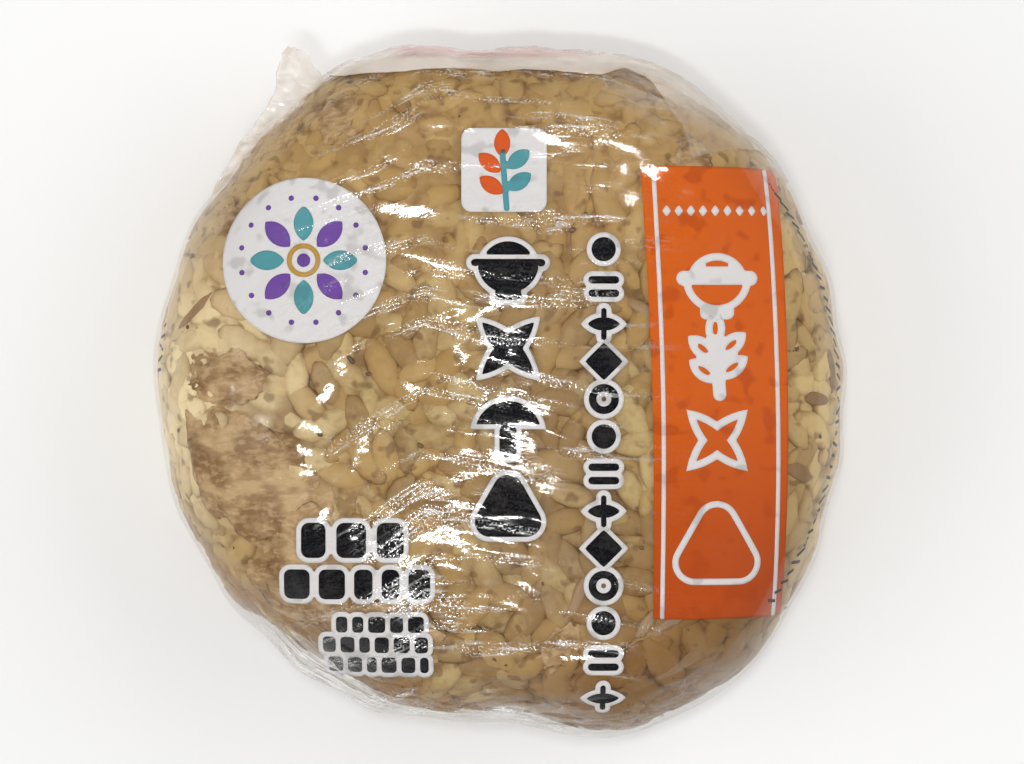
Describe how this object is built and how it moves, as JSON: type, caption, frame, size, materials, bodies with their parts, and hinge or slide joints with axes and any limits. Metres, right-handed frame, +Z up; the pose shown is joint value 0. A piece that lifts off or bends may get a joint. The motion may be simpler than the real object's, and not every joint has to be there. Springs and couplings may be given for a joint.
{
  "type": "wrapped onigiri rice ball",
  "caption": "Round onigiri of seasoned brown rice in tight clear film, lying on its back, with a lap of film at its top edge and a pinched film ear.",
  "frame": {"origin": "under the middle of the pack, on the surface it lies on", "axes": "+Z up out of the shown face, +X to the face's right, +Y to its top edge"},
  "size_m": [0.0804, 0.081, 0.036],
  "materials": {
    "rice_in_film": "cooked rice browned by seasoning, seen through tight glossy film",
    "seasoned_rice": "moist, slightly translucent cooked grains with a soft gloss",
    "chicken": "simmered meat, dull and fibrous",
    "burdock": "thin shaved root slivers, moist",
    "clear_film": "clear glossy plastic film with fine creases",
    "white_ink": "white ink under glossy film",
    "black_ink": "black ink under glossy film",
    "orange_ink": "orange ink under glossy film",
    "violet_ink": "violet ink under glossy film",
    "teal_ink": "teal ink under glossy film",
    "gold_ink": "gold ink under glossy film"
  },
  "bodies": {
    "root": {"wrapped_rice_ball": "rice_in_film"}
  },
  "joints": []
}
